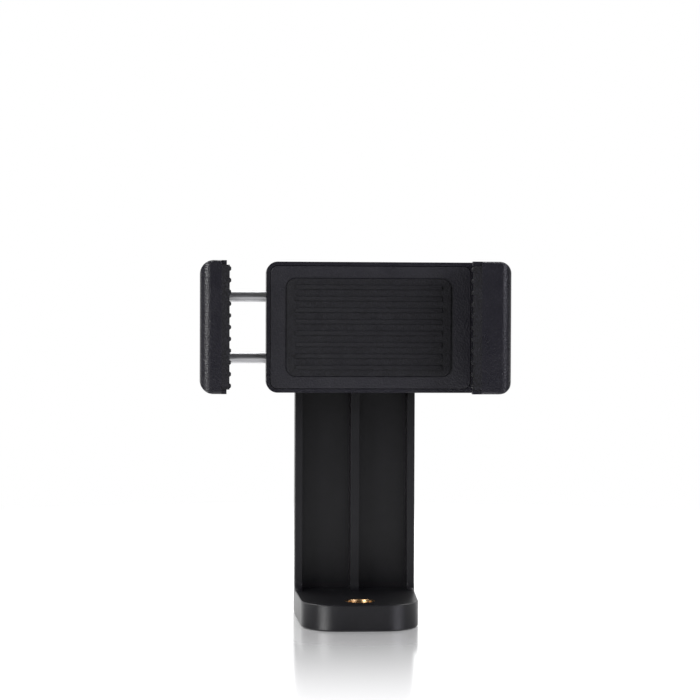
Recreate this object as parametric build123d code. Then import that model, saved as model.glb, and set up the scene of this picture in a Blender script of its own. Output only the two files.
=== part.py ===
from build123d import *
from math import cos, pi, sin, sqrt
import os

# Tripod mount for a phone: a sprung two-rod clamp that swivels on an L-shaped bracket.
# Millimetres. The foot stands on z = 0, and the tripod thread's axis is x = 0, y = 0.
# -y is the user's side, where the screen faces. The fixed jaw is on the +x side.

# What the clamp takes.
grip_min = 56.0
grip_at_rest = 67.1
grip_depth = 7.3
fixed_grip_x = 31.2

# Foot of the bracket.
foot_front = 8.4
foot_thickness = 6.8
foot_front_width = 30.0
foot_corner_radius = 10.0
bracket_edge_bevel = 0.2
sole_bevel = 0.4

# Post of the bracket, a channel that is open to the front.
post_width = 32.6
post_back = 28.6
post_depth = 8.5
post_skin = 2.5
post_rim = 2.0
post_rib = 2.3
post_base_fillet = 2.5
post_back_bevel = 1.2
pivot_height = 78.4
hub_radius = 10.2

# Tripod insert, for a quarter-inch screw.
insert_radius = 4.0
thread_radius = 3.175
insert_chamfer = 0.35

# Jaws.
jaw_height = 34.8
jaw_corner_radius = 3.7
jaw_front_radius = 3.0
jaw_edge_radius = 0.8
fixed_jaw_width = 8.5
sliding_jaw_width = 6.1
lip_thickness = 2.8
lip_plate = 1.2
seam_setback = 0.4
end_wall = 1.2
end_wall_step = 0.6
fixed_wall_reach = 1.9
sliding_wall_reach = 0.9

# Rubber pads of the jaws.
pad_base = 1.5
lip_reach = 2.05
rib_pitch = 3.05
rib_width = 1.2
rib_height = 0.4
rib_bevel = 0.3
pad_depth_behind_phone = 0.4

# Clamp housing.
housing_depth = 9.8
housing_wall = 2.0
housing_left_radius = 3.0
shell_back_bevel = 1.1
end_gap = 0.3
fixed_end_wall = 2.4
boss_radius = 10.5
boss_height = 0.5
cover_thickness = 2.0
cover_rim = 1.0
cover_gap = 0.1

# Back pad on the cover.
back_pad_width = 44.0
back_pad_height = 26.0
back_pad_radius = 2.5
back_pad_centre = 2.8
back_pad_thickness = 1.4
back_pad_recess = 0.55
back_rib_pitch = 3.05
back_rib_margin = 1.0
back_rib_width = 1.2
back_rib_height = 0.4

# Guide rods and their springs.
rod_radius = 1.5
rod_offset = 8.2
rod_socket = 5.0
rod_end_gap = 1.1
rod_y = 13.8
slide_clearance = 0.08
spring_radius = 2.05
spring_wire = 0.7
spring_turns = 8
spring_steps = 8
spring_wire_sides = 6
spring_seat = 0.05
rod_washer_radius = 2.45
rod_washer_thickness = 0.6
clip_radius = 2.45
clip_thickness = 0.5
clip_groove_radius = 1.1
clip_mouth = 1.9
rod_tip = 0.9

# Pivot bolt with its washers and the knob.
bolt_radius = 2.5
bolt_length = 20.0
bolt_head_flats = 8.0
bolt_head_height = 3.5
bolt_tip_chamfer = 0.4
head_clearance = 0.1
head_wall = 1.0
head_ring_radius = 3.6
pivot_clearance = 0.08
friction_washer_radius = 10.0
friction_washer_thickness = 1.0
knob_washer_radius = 7.5
knob_washer_thickness = 1.0
knob_radius = 14.0
knob_depth = 13.0
knob_collar_radius = 9.0
knob_collar_height = 2.5
knob_flutes = 12
flute_radius = 3.0
flute_depth = 1.1
knob_edge_bevel = 1.0
knob_dish_radius = 8.5
knob_dish_depth = 0.7
nut_flats = 8.0
nut_length = 6.0
bolt_end_room = 0.3
bolt_end_gap = 1.0

# Cover screws.
screw_radius = 1.0
screw_length = 6.5
screw_head_radius = 1.8
screw_head_height = 1.1
screw_head_bevel = 0.35
screw_head_sink = 0.1
screw_clearance = 0.1
screw_boss_radius = 2.2

# Planes and places that follow from the sizes above.
post_front = post_back - post_depth
housing_back = post_front - friction_washer_thickness - boss_height
cover_front = housing_back - housing_depth
inner_back = housing_back - housing_wall
cover_back = cover_front + cover_thickness
back_pad_front = cover_front + back_pad_recess - back_pad_thickness
lip_back = back_pad_front - grip_depth
jaw_front = lip_back - lip_thickness
pad_back = back_pad_front - pad_depth_behind_phone
sliding_grip_x = fixed_grip_x - grip_at_rest
housing_left = fixed_grip_x - grip_min + end_gap
housing_right = fixed_grip_x + fixed_jaw_width
cavity_left = housing_left + housing_wall
cavity_right = fixed_grip_x - fixed_end_wall
half_height = jaw_height / 2
cavity_half = half_height - housing_wall
socket_end = sliding_grip_x - rod_socket
rod_end = cavity_right - rod_end_gap - (grip_at_rest - grip_min)
clip_right = rod_end - rod_tip
washer_left = clip_right - clip_thickness - rod_washer_thickness
screw_left = cavity_left + screw_boss_radius
screw_right = cavity_right - screw_boss_radius
screw_z = cavity_half - screw_boss_radius
pad_half = half_height - end_wall
rib_count = int((2 * pad_half - rib_width) // rib_pitch) + 1
back_rib_span = back_pad_height - back_rib_width - 2 * back_rib_margin
back_rib_count = int(back_rib_span // back_rib_pitch) + 1
screw_seat = housing_back - screw_head_height - screw_head_sink
head_corner = bolt_head_flats / sqrt(3)
nut_corner = nut_flats / sqrt(3)
knob_front = post_back + knob_washer_thickness
knob_back = knob_front + knob_depth
bolt_hole_depth = inner_back + bolt_length - knob_front + bolt_end_gap

raised = Pos(0, 0, pivot_height)
hexagon_sides = 6
same_place = 0.001


def prism_z(outline, low, high):
    """Solid between two heights over an outline in x and y."""
    return extrude(Pos(0, 0, low) * outline, high - low)


def prism_y(outline, front, back):
    """Solid between two depths over an outline in x and z."""
    face = Plane(origin=(0, front, 0), x_dir=(1, 0, 0), z_dir=(0, -1, 0)) * outline
    return extrude(face, -(back - front))


def prism_x(outline, left, right):
    """Solid between two x places over an outline in y and z."""
    face = Plane(origin=(left, 0, 0), x_dir=(0, 1, 0), z_dir=(1, 0, 0)) * outline
    return extrude(face, right - left)


def rod_y_axis(radius, front, back, x=0.0, z=0.0):
    """Cylinder along y."""
    return prism_y(Pos(x, z) * Circle(radius), front, back)


def rod_x_axis(radius, left, right, y=0.0, z=0.0):
    """Cylinder along x."""
    return prism_x(Pos(y, z) * Circle(radius), left, right)


def rectangle(left, low, right, high):
    """Rectangle from its corners."""
    return Pos((left + right) / 2, (low + high) / 2) * Rectangle(right - left, high - low)


def corners_near(sketch, x=None, y=None):
    """Vertices of a flat outline at a given x or y."""
    found = sketch.vertices()
    if x is not None:
        found = [v for v in found if abs(v.X - x) < same_place]
    if y is not None:
        found = [v for v in found if abs(v.Y - y) < same_place]
    return found


def edges_at_y(solid, y):
    """Edges that lie in a plane across y."""
    return [e for e in solid.edges() if all(abs(v.Y - y) < same_place for v in e.vertices())]


def edges_at_z(solid, z):
    """Edges that lie in a plane across z."""
    return [e for e in solid.edges() if all(abs(v.Z - z) < same_place for v in e.vertices())]


def foot_plan():
    """Outline of the foot seen from above: straight beside the post, then tapering to a round front."""
    half_post = post_width / 2
    half_front = foot_front_width / 2
    outline = make_face(Polyline(
        (-half_post, post_back), (half_post, post_back), (half_post, post_front),
        (half_front, -foot_front), (-half_front, -foot_front), (-half_post, post_front),
        close=True))
    return fillet(corners_near(outline, y=-foot_front), foot_corner_radius)


def post_outline(inset):
    """Outline of the post seen from the front, its top round about the pivot."""
    half = post_width / 2 - inset
    return rectangle(-half, 0, half, pivot_height) + Pos(0, pivot_height) * Circle(half)


def post_pockets():
    """The two pockets beside the centre rib, which run round the hub at the top."""
    floor = rectangle(-post_width, foot_thickness, post_width, pivot_height + post_width)
    rib = rectangle(-post_rib / 2, 0, post_rib / 2, pivot_height)
    hub = Pos(0, pivot_height) * Circle(hub_radius)
    outline = (post_outline(post_rim) & floor) - rib - hub
    return prism_y(outline, post_front - post_base_fillet, post_back - post_skin)


def bracket():
    """Foot and post in one piece, its outer edges bevelled before the pockets are cut."""
    body = prism_z(foot_plan(), 0, foot_thickness)
    body += prism_y(post_outline(0), post_front, post_back)
    inner_corner = [e for e in edges_at_y(body, post_front) if e in edges_at_z(body, foot_thickness)]
    body = fillet(inner_corner, post_base_fillet)
    back_rim = [e for e in edges_at_y(body, post_back) if e.center().Z > same_place]
    body = chamfer(back_rim, post_back_bevel)
    fillet_start = post_front - post_base_fillet
    rim = [e for e in edges_at_z(body, foot_thickness) if e.center().Y < fillet_start - bracket_edge_bevel]
    body = chamfer(rim, bracket_edge_bevel)
    body = chamfer(edges_at_z(body, 0), sole_bevel)
    body -= post_pockets()
    body -= rod_y_axis(bolt_radius + pivot_clearance, post_front, post_back, z=pivot_height)
    return body - Pos(0, 0, foot_thickness / 2) * Cylinder(insert_radius, foot_thickness)


def jaw_block(width, left):
    """Plain block of a jaw, grip plane at x = 0 and outwards along +x, with its rounded edges."""
    plan = rectangle(left, jaw_front, width, housing_back)
    plan = fillet([v for v in corners_near(plan, x=width) if v.Y < 0], jaw_front_radius)
    front = rectangle(left, -half_height, width, half_height)
    front = fillet(corners_near(front, x=width), jaw_corner_radius)
    side = rectangle(jaw_front, -half_height, housing_back, half_height)
    side = fillet(corners_near(side, x=jaw_front), jaw_edge_radius)
    block = prism_z(plan, -half_height, half_height) & prism_y(front, jaw_front, housing_back)
    return block & prism_x(side, left, width)


def pad_room(reach):
    """What the recess for the pad takes out of a jaw, seen from above."""
    plate = jaw_front + lip_plate
    return rectangle(seam_setback, plate, pad_base, pad_back) \
        + rectangle(-reach, jaw_front, seam_setback, pad_back)


def jaw_shell(width, reach):
    """Shell of a jaw: a recess for the pad between two thin end walls that hook like it."""
    shell = jaw_block(width, -reach)
    shell -= prism_z(rectangle(-reach, lip_back, 0, housing_back), -half_height, half_height)
    step = rectangle(-reach, jaw_front, seam_setback, jaw_front + end_wall_step)
    shell -= prism_z(step, -half_height, half_height)
    return shell - prism_z(pad_room(reach), -pad_half, pad_half)


def jaw_pad():
    """Ribbed rubber pad that hooks round the phone's edge, grip plane at x = 0."""
    plate = jaw_front + lip_plate
    section = rectangle(rib_height, plate, pad_base, pad_back) \
        + rectangle(rib_height - lip_reach, jaw_front, seam_setback, lip_back)
    pad = prism_z(section, -pad_half, pad_half)
    first = -rib_pitch * (rib_count - 1) / 2
    for index in range(rib_count):
        z = first + index * rib_pitch
        pad += prism_y(rib_outline(-lip_reach, 0, z), jaw_front, lip_back)
        pad += prism_y(rib_outline(0, pad_base - rib_height, z), lip_back, pad_back)
    return pad


def rib_outline(left, right, z):
    """One rib seen from the front, its free left end bevelled."""
    outline = rectangle(left, z - rib_width / 2, right, z + rib_width / 2)
    return chamfer(corners_near(outline, x=left), rib_bevel)


def on_fixed_side(solid):
    """Place a jaw's piece on the fixed side."""
    return Pos(fixed_grip_x, 0, 0) * solid


def on_sliding_side(solid):
    """Turn a jaw's piece over and place it on the sliding side."""
    return Pos(sliding_grip_x, 0, 0) * mirror(solid, about=Plane.YZ)


def housing_outline():
    """Housing seen from the front, with the fixed jaw's corners on the right."""
    outline = rectangle(housing_left, -half_height, housing_right, half_height)
    outline = fillet(corners_near(outline, x=housing_right), jaw_corner_radius)
    return fillet(corners_near(outline, x=housing_left), housing_left_radius)


def cover_outline(gap):
    """Front cover seen from the front, or with no gap the rebate that it lies in."""
    left = housing_left + cover_rim + gap
    right = fixed_grip_x - cover_rim - gap
    half = half_height - cover_rim - gap
    outline = rectangle(left, -half, right, half)
    return fillet(outline.vertices(), housing_left_radius - cover_rim)


def screw_places():
    """Centres of the four cover screws in x and z."""
    return [(x, z) for x in (screw_left, screw_right) for z in (-screw_z, screw_z)]


def clamp_housing():
    """Housing with the fixed jaw in one piece, open at the front for the cover."""
    body = prism_y(housing_outline(), cover_front, housing_back)
    body += on_fixed_side(jaw_shell(fixed_jaw_width, fixed_wall_reach))
    body = chamfer(edges_at_y(body, housing_back), shell_back_bevel)
    body -= prism_y(cover_outline(0), cover_front, cover_back)
    body -= prism_y(rectangle(cavity_left, -cavity_half, cavity_right, cavity_half),
                    cover_front, inner_back)
    head_front = inner_back - bolt_head_height
    body += rod_y_axis(head_corner + head_wall, head_front, inner_back)
    body -= prism_y(RegularPolygon(head_corner + head_clearance, hexagon_sides), head_front, inner_back)
    body += rod_y_axis(boss_radius, housing_back, housing_back + boss_height)
    body -= rod_y_axis(bolt_radius + pivot_clearance, inner_back, housing_back + boss_height)
    for z in (-rod_offset, rod_offset):
        body -= rod_x_axis(rod_radius + slide_clearance, housing_left, cavity_left, rod_y, z)
    for x, z in screw_places():
        body -= rod_y_axis(screw_radius + screw_clearance, inner_back, housing_back, x, z)
        body -= rod_y_axis(screw_head_radius + screw_clearance, screw_seat, housing_back, x, z)
    return body


def front_cover():
    """Cover with a bed for the back pad, four screw posts and a ring on the bolt's head."""
    body = prism_y(cover_outline(cover_gap), cover_front, cover_back)
    body -= prism_y(back_pad_outline(), cover_front, cover_front + back_pad_recess)
    head_front = inner_back - bolt_head_height
    body += rod_y_axis(head_ring_radius, cover_back, head_front - head_clearance)
    body -= rod_y_axis(head_ring_radius - head_wall, cover_back, head_front)
    for x, z in screw_places():
        body += rod_y_axis(screw_boss_radius, cover_back, inner_back, x, z)
        body -= rod_y_axis(screw_radius, screw_seat - screw_length, inner_back, x, z)
    return body


def back_pad_outline():
    """Back pad seen from the front."""
    return Pos(back_pad_centre, 0) * RectangleRounded(back_pad_width, back_pad_height, back_pad_radius)


def back_pad():
    """Ribbed rubber sheet that the phone's back rests on."""
    bed = cover_front + back_pad_recess
    pad = prism_y(back_pad_outline(), back_pad_front + back_rib_height, bed)
    first = -back_rib_pitch * (back_rib_count - 1) / 2
    width = back_pad_width - 2 * back_pad_radius
    for index in range(back_rib_count):
        rib = Pos(back_pad_centre, first + index * back_rib_pitch) * Rectangle(width, back_rib_width)
        pad += prism_y(rib, back_pad_front, bed)
    return pad


def sliding_jaw():
    """Outer jaw on the two rods, with a blind socket for each rod."""
    body = on_sliding_side(jaw_shell(sliding_jaw_width, sliding_wall_reach))
    body = chamfer(edges_at_y(body, housing_back), shell_back_bevel)
    for z in (-rod_offset, rod_offset):
        body -= rod_x_axis(rod_radius, socket_end, sliding_grip_x, rod_y, z)
    return body


def guide_rod(z):
    """Steel rod with a groove for its clip."""
    body = rod_x_axis(rod_radius, socket_end, rod_end, rod_y, z)
    groove = rod_x_axis(rod_radius, clip_right - clip_thickness, clip_right, rod_y, z)
    return body - (groove - rod_x_axis(clip_groove_radius, socket_end, rod_end, rod_y, z))


def rod_clip(z):
    """Spring clip in the rod's groove, open on one side."""
    left = clip_right - clip_thickness
    body = rod_x_axis(clip_radius, left, clip_right, rod_y, z)
    body -= rod_x_axis(clip_groove_radius, left, clip_right, rod_y, z)
    mouth = rectangle(rod_y, z - clip_mouth / 2, rod_y + clip_radius, z + clip_mouth / 2)
    return body - prism_x(mouth, left, clip_right)


def rod_washer(z):
    """Washer between the spring and the clip."""
    right = clip_right - clip_thickness
    body = rod_x_axis(rod_washer_radius, right - rod_washer_thickness, right, rod_y, z)
    return body - rod_x_axis(rod_radius + slide_clearance, right - rod_washer_thickness, right, rod_y, z)


def spring(z):
    """Compression spring on a rod, between the housing's end wall and the washer."""
    left = cavity_left + spring_wire / 2 + spring_seat
    length = washer_left - cavity_left - spring_wire - 2 * spring_seat
    points = []
    for index in range(spring_turns * spring_steps + 1):
        angle = 2 * pi * index / spring_steps
        x = length * index / (spring_turns * spring_steps)
        points.append((x, spring_radius * cos(angle), spring_radius * sin(angle)))
    path = Polyline(*points)
    section = Plane(origin=path @ 0, x_dir=(0, 1, 0), z_dir=path % 0) * RegularPolygon(
        spring_wire / 2, spring_wire_sides)
    return Pos(left, rod_y, z) * sweep(section, path=path, transition=Transition.RIGHT)


def pivot_bolt():
    """Hexagon bolt that the clamp turns on."""
    head = prism_y(RegularPolygon(head_corner, hexagon_sides), inner_back - bolt_head_height, inner_back)
    shank = rod_y_axis(bolt_radius, inner_back, inner_back + bolt_length)
    return head + chamfer(edges_at_y(shank, inner_back + bolt_length), bolt_tip_chamfer)


def washer(radius, front, back):
    """Flat washer on the pivot bolt."""
    return rod_y_axis(radius, front, back) - rod_y_axis(bolt_radius + pivot_clearance, front, back)


def knob():
    """Fluted knob with a collar at the front, a shallow dish at the back and a bed for its nut."""
    disc = rod_y_axis(knob_radius, knob_front + knob_collar_height, knob_back)
    disc = chamfer(edges_at_y(disc, knob_back), knob_edge_bevel)
    reach = knob_radius - flute_depth + flute_radius
    for index in range(knob_flutes):
        angle = 2 * pi * index / knob_flutes
        disc -= rod_y_axis(flute_radius, knob_front, knob_back, reach * cos(angle), reach * sin(angle))
    disc += rod_y_axis(knob_collar_radius, knob_front, knob_front + knob_collar_height)
    disc -= rod_y_axis(knob_dish_radius, knob_back - knob_dish_depth, knob_back)
    disc -= prism_y(RegularPolygon(nut_corner, hexagon_sides), knob_front, knob_front + nut_length)
    return disc - rod_y_axis(bolt_radius + bolt_end_room, knob_front, knob_front + bolt_hole_depth)


def knob_nut():
    """Hexagon nut of brass moulded into the knob."""
    body = prism_y(RegularPolygon(nut_corner, hexagon_sides), knob_front, knob_front + nut_length)
    return body - rod_y_axis(bolt_radius + pivot_clearance, knob_front, knob_front + nut_length)


def tripod_insert():
    """Brass thread insert through the foot."""
    body = Cylinder(insert_radius, foot_thickness) - Cylinder(thread_radius, foot_thickness)
    rims = body.edges().filter_by(GeomType.CIRCLE)
    mouth = [e for e in rims if e.radius < insert_radius and e.center().Z > 0]
    return Pos(0, 0, foot_thickness / 2) * chamfer(mouth, insert_chamfer)


def cover_screw(x, z):
    """Pan-head screw that goes in from the back."""
    head = rod_y_axis(screw_head_radius, screw_seat, screw_seat + screw_head_height, x, z)
    head = chamfer(edges_at_y(head, screw_seat + screw_head_height), screw_head_bevel)
    return head + rod_y_axis(screw_radius, screw_seat - screw_length, screw_seat, x, z)


clamp_parts = {
    "clamp_housing": clamp_housing(),
    "front_cover": front_cover(),
    "back_pad": back_pad(),
    "fixed_jaw_pad": on_fixed_side(jaw_pad()),
    "sliding_jaw": sliding_jaw(),
    "sliding_jaw_pad": on_sliding_side(jaw_pad()),
    "guide_rod_upper": guide_rod(rod_offset),
    "guide_rod_lower": guide_rod(-rod_offset),
    "spring_upper": spring(rod_offset),
    "spring_lower": spring(-rod_offset),
    "rod_washer_upper": rod_washer(rod_offset),
    "rod_washer_lower": rod_washer(-rod_offset),
    "rod_clip_upper": rod_clip(rod_offset),
    "rod_clip_lower": rod_clip(-rod_offset),
    "cover_screws": Compound(children=[cover_screw(x, z) for x, z in screw_places()]),
    "pivot_bolt": pivot_bolt(),
    "friction_washer": washer(friction_washer_radius, housing_back + boss_height, post_front),
    "knob_washer": washer(knob_washer_radius, post_back, knob_front),
    "knob": knob(),
    "knob_nut": knob_nut(),
}

parts = {"bracket": bracket(), "tripod_insert": tripod_insert()}
for name, solid in clamp_parts.items():
    parts[name] = raised * solid

os.makedirs("parts", exist_ok=True)
for name, solid in parts.items():
    solid.label = name
    export_step(solid, f"parts/{name}.step")
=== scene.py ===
"""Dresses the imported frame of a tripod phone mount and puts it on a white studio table."""

import math

import bmesh
import bpy
from bpy.props import FloatProperty, FloatVectorProperty, IntProperty, PointerProperty
from mathutils import Euler, Matrix, Vector


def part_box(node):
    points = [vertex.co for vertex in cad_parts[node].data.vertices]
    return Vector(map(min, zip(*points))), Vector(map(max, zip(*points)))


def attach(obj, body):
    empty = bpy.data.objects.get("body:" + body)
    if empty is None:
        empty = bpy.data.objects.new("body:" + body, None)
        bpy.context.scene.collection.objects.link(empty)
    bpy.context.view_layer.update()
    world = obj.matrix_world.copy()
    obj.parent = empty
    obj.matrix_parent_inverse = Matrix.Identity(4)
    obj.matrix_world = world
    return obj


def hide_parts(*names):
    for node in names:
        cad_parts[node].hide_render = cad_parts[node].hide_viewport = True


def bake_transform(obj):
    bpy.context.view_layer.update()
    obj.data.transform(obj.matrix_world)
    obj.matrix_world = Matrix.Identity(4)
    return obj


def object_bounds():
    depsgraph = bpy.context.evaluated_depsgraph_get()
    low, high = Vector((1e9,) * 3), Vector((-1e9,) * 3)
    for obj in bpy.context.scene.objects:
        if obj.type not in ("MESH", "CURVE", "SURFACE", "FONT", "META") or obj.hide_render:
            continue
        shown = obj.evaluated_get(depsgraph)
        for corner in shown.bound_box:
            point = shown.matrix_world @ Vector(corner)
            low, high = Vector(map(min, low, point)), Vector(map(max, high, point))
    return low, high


bl_info = {
    "name": "Tripod phone mount",
    "version": (1, 0, 0),
    "blender": (4, 5, 0),
    "location": "3D View > Sidebar > Phone mount",
    "description": "Finishes and stages a sprung phone clamp on an L-shaped tripod bracket",
    "category": "Object",
}

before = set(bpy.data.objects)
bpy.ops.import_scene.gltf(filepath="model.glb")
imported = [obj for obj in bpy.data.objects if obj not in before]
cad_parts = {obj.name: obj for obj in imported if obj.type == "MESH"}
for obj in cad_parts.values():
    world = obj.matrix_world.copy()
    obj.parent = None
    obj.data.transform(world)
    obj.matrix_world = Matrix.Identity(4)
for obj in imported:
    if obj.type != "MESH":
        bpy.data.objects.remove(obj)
cad_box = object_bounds()

MM = 0.001

CLAMP = "clamp_body"
BRACKET = "bracket_body"

# Steps round a circle, or round one turn of a helix
COIL_STEPS = 28
TUBE_STEPS = 96
THREAD_STEPS = 72
HEAD_STEPS = 56
SHANK_STEPS = 32
CORNER_STEPS = 8

# Angles between faces: flat enough to merge, smooth to the eye, and a true edge
FLAT = math.radians(0.6)
SMOOTH = math.radians(35.0)
SHARP = math.radians(60.0)

# Distances under which points of the frame's nodes and of own meshes are the same
FRAME_GAP = 0.002 * MM
MERGE_GAP = 0.001 * MM

# How strongly large faces steer the shading of softened edges
FACE_WEIGHT = 80

# A thread ridge takes this share of the pitch and sinks this far into its bore
RIDGE_SHARE = 0.9
RIDGE_ROOT = 0.02 * MM

# A screw's shank sinks this far into its head
SHANK_ROOT = 0.05 * MM

# Turn of the first screw in degrees, and how much further each next one is turned
FIRST_SCREW_TURN = 23.0
NEXT_SCREW_TURN = 37.0

# Noise mostly lies between these values
NOISE_SPAN = (0.25, 0.75)

# A pit of the moulded grain from its middle to its rim: distance in grains, and tone
PIT_REACH = (0.0, 0.7)
PIT_TONE = (-0.2, 0.3)

# Noise between which the rubber's speckle turns from dark to light
SPECKLE_SPAN = (0.38, 0.66)

# Where dust starts and ends: distance from a speck's middle, patch noise, and how far a face looks up
SPECK_EDGE = (0.055, 0.10)
PATCH_EDGE = (0.50, 0.58)
UPWARD = (0.5, 0.9)

# The table lies this far below the mount, and the white around it gives off this much light
TABLE_GAP = 0.02 * MM
WHITE_GLOW = 0.45
TABLE_WHITE = (0.9, 0.9, 0.9, 1.0)
WHITE = (1.0, 1.0, 1.0, 1.0)

# Width of the camera's sensor in millimetres
SENSOR_WIDTH = 36.0


class MountFinish(bpy.types.PropertyGroup):
    """Colours and surface values of the mount's materials."""

    bracket_black: FloatVectorProperty(
        name="Bracket black", description="Colour of the glossy bracket",
        subtype="COLOR", size=3, default=(0.0054, 0.0052, 0.0066))
    shell_black: FloatVectorProperty(
        name="Shell black", description="Colour of the grained clamp shells",
        subtype="COLOR", size=3, default=(0.0057, 0.0053, 0.0086))
    rubber_black: FloatVectorProperty(
        name="Rubber black", description="Colour of the ribbed rubber pads",
        subtype="COLOR", size=3, default=(0.0054, 0.0052, 0.0074))
    knob_black: FloatVectorProperty(
        name="Knob black", description="Colour of the clamping knob",
        subtype="COLOR", size=3, default=(0.009, 0.009, 0.0095))
    washer_grey: FloatVectorProperty(
        name="Washer grey", description="Colour of the friction washer",
        subtype="COLOR", size=3, default=(0.05, 0.05, 0.052))
    brass: FloatVectorProperty(
        name="Brass", description="Colour of the thread insert and the knob's nut",
        subtype="COLOR", size=3, default=(0.50, 0.33, 0.17))
    rod_steel: FloatVectorProperty(
        name="Rod steel", description="Colour of the satin guide rods, the bolt and the washers",
        subtype="COLOR", size=3, default=(0.40, 0.40, 0.41))
    dark_steel: FloatVectorProperty(
        name="Dark steel", description="Colour of springs, clips and screws",
        subtype="COLOR", size=3, default=(0.32, 0.32, 0.33))
    grain_size: FloatProperty(
        name="Grain size", description="Size of one grain on the clamp shells",
        subtype="DISTANCE", unit="LENGTH", default=0.42 * MM, min=0.05 * MM)
    rubber_grain_size: FloatProperty(
        name="Rubber grain size", description="Size of one speckle on the rubber",
        subtype="DISTANCE", unit="LENGTH", default=0.45 * MM, min=0.05 * MM)
    dust_grey: FloatVectorProperty(
        name="Dust grey", description="Colour of the dust on the bracket",
        subtype="COLOR", size=3, default=(0.24, 0.24, 0.25))
    dust_spacing: FloatProperty(
        name="Dust spacing", description="Distance between the specks of a dusty patch",
        subtype="DISTANCE", unit="LENGTH", default=1.7 * MM, min=0.2 * MM)
    dust_patch: FloatProperty(
        name="Dust patch", description="Size of a dusty patch",
        subtype="DISTANCE", unit="LENGTH", default=9.0 * MM, min=1.0 * MM)


class MountShape(bpy.types.PropertyGroup):
    """Sizes of the detail that is modelled over the frame."""

    shell_edge: FloatProperty(
        name="Shell edge", description="Width of the softened edges of the moulded shells",
        subtype="DISTANCE", unit="LENGTH", default=0.18 * MM)
    rubber_edge: FloatProperty(
        name="Rubber edge", description="Width of the softened edges of the rubber ribs",
        subtype="DISTANCE", unit="LENGTH", default=0.16 * MM)
    sheet_corner: FloatProperty(
        name="Sheet corner", description="Corner radius of the back pad",
        subtype="DISTANCE", unit="LENGTH", default=2.5 * MM)
    sheet_rib_height: FloatProperty(
        name="Rib height", description="How far the back pad's ribs stand out of the sheet",
        subtype="DISTANCE", unit="LENGTH", default=0.4 * MM)
    sheet_rib_width: FloatProperty(
        name="Rib width", description="Width of the back pad's ribs",
        subtype="DISTANCE", unit="LENGTH", default=1.2 * MM)
    sheet_margin: FloatProperty(
        name="Sheet margin", description="Plain edge above and below the back pad's ribs",
        subtype="DISTANCE", unit="LENGTH", default=1.0 * MM)
    rib_pitch: FloatProperty(
        name="Rib pitch", description="Distance between the back pad's ribs",
        subtype="DISTANCE", unit="LENGTH", default=3.05 * MM)
    metal_edge: FloatProperty(
        name="Metal edge", description="Width of the broken edges of turned metal",
        subtype="DISTANCE", unit="LENGTH", default=0.08 * MM)
    spring_wire: FloatProperty(
        name="Spring wire", description="Diameter of the spring wire",
        subtype="DISTANCE", unit="LENGTH", default=0.7 * MM)
    spring_turns: IntProperty(
        name="Spring turns", description="Open turns of a spring, without its closed ends",
        default=8, min=1)
    thread_pitch: FloatProperty(
        name="Thread pitch", description="Pitch of the quarter-inch tripod thread",
        subtype="DISTANCE", unit="LENGTH", default=1.27 * MM)
    thread_depth: FloatProperty(
        name="Thread depth", description="How far the thread stands into the bore",
        subtype="DISTANCE", unit="LENGTH", default=0.62 * MM)
    thread_radius: FloatProperty(
        name="Thread radius", description="Outer radius of the quarter-inch tripod thread",
        subtype="DISTANCE", unit="LENGTH", default=3.175 * MM)
    insert_bevel: FloatProperty(
        name="Insert bevel", description="Rounding of the insert's mouths",
        subtype="DISTANCE", unit="LENGTH", default=0.28 * MM)
    screw_head: FloatProperty(
        name="Screw head", description="Height of the cover screws' heads",
        subtype="DISTANCE", unit="LENGTH", default=1.1 * MM)
    screw_head_radius: FloatProperty(
        name="Screw head radius", description="Radius of the cover screws' heads",
        subtype="DISTANCE", unit="LENGTH", default=1.8 * MM)
    screw_round: FloatProperty(
        name="Screw round", description="Rounding of the cover screws' heads",
        subtype="DISTANCE", unit="LENGTH", default=0.4 * MM)
    screw_shank: FloatProperty(
        name="Screw shank", description="Radius of the cover screws' shanks",
        subtype="DISTANCE", unit="LENGTH", default=1.0 * MM)
    recess_width: FloatProperty(
        name="Recess width", description="Width of an arm of the screws' cross recess",
        subtype="DISTANCE", unit="LENGTH", default=0.42 * MM)
    recess_reach: FloatProperty(
        name="Recess reach", description="Length of the screws' cross recess",
        subtype="DISTANCE", unit="LENGTH", default=2.1 * MM)
    recess_depth: FloatProperty(
        name="Recess depth", description="Depth of the screws' cross recess",
        subtype="DISTANCE", unit="LENGTH", default=0.6 * MM)


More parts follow.
